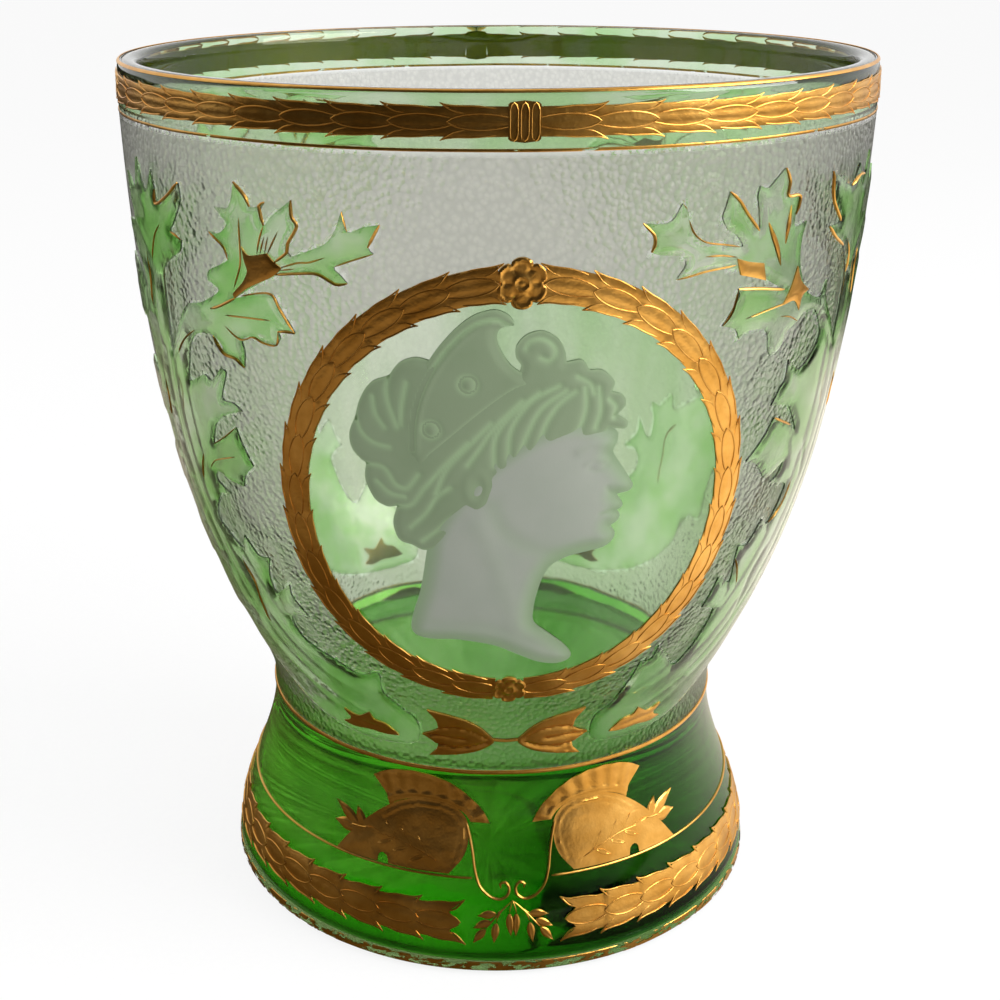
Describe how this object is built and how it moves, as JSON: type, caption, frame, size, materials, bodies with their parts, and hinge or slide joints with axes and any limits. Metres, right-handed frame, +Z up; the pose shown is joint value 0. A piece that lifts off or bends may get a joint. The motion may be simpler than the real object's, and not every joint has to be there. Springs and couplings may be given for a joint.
{
  "type": "cameo glass vase",
  "caption": "Small footed vase of clear glass cased in green, with cut foliage in relief, a profile portrait in a round window, and gilded wreaths and foot ornament.",
  "frame": {"origin": "middle of the flat base", "axes": "+Z up along the vase's axis, -Y out through the portrait, +X to the right of someone who faces the portrait"},
  "size_m": [0.1144, 0.1147, 0.135],
  "materials": {
    "clear_glass": "pebbled frosted ground outside, smooth inside",
    "deep_green_glass": "polished",
    "pale_green_glass": "polished",
    "leaf_green_glass": "polished, cut edges",
    "frosted_glass": "matt, wheel cut",
    "frosted_green_glass": "matt, wheel cut",
    "gold": "fired gilding, polished on raised lines"
  },
  "bodies": {
    "root": {"clear_glass_body": "clear_glass", "green_foot_casing": "deep_green_glass", "green_collar_casing": "pale_green_glass", "medallion_window_casing": "pale_green_glass", "cameo_bust": "frosted_glass", "cameo_hair": "frosted_green_glass", "cameo_headdress": "frosted_green_glass", "lip_gilding": "gold", "collar_line_gilding": "gold", "waist_line_gilding": "gold", "foot_edge_gilding": "gold", "medallion_rosette_top": "gold", "medallion_rosette_bottom": "gold", "collar_wreath_left": "gold", "medallion_wreath_left": "gold", "helmet_line_left": "gold", "collar_wreath_right": "gold", "medallion_wreath_right": "gold", "helmet_line_right": "gold", "collar_buckle_front": "gold", "tulip_pair_front": "gold", "foot_sprig_front": "gold", "foliage_front_left": "leaf_green_glass", "leaf_gilding_front_left": "gold", "waist_leaf_gilding_front_left": "gold", "helmet_crest_front_left": "gold", "helmet_dome_front_left": "gold", "ribbon_scroll_front_left": "gold", "foot_garland_front_left": "gold", "foliage_front_right": "leaf_green_glass", "leaf_gilding_front_right": "gold", "waist_leaf_gilding_front_right": "gold", "helmet_crest_front_right": "gold", "helmet_dome_front_right": "gold", "ribbon_scroll_front_right": "gold", "foot_garland_front_right": "gold", "collar_buckle_back": "gold", "tulip_pair_back": "gold", "foot_sprig_back": "gold", "foliage_back_left": "leaf_green_glass", "leaf_gilding_back_left": "gold", "waist_leaf_gilding_back_left": "gold", "helmet_crest_back_left": "gold", "helmet_dome_back_left": "gold", "ribbon_scroll_back_left": "gold", "foot_garland_back_left": "gold", "foliage_back_right": "leaf_green_glass", "leaf_gilding_back_right": "gold", "waist_leaf_gilding_back_right": "gold", "helmet_crest_back_right": "gold", "helmet_dome_back_right": "gold", "ribbon_scroll_back_right": "gold", "foot_garland_back_right": "gold"}
  },
  "joints": []
}
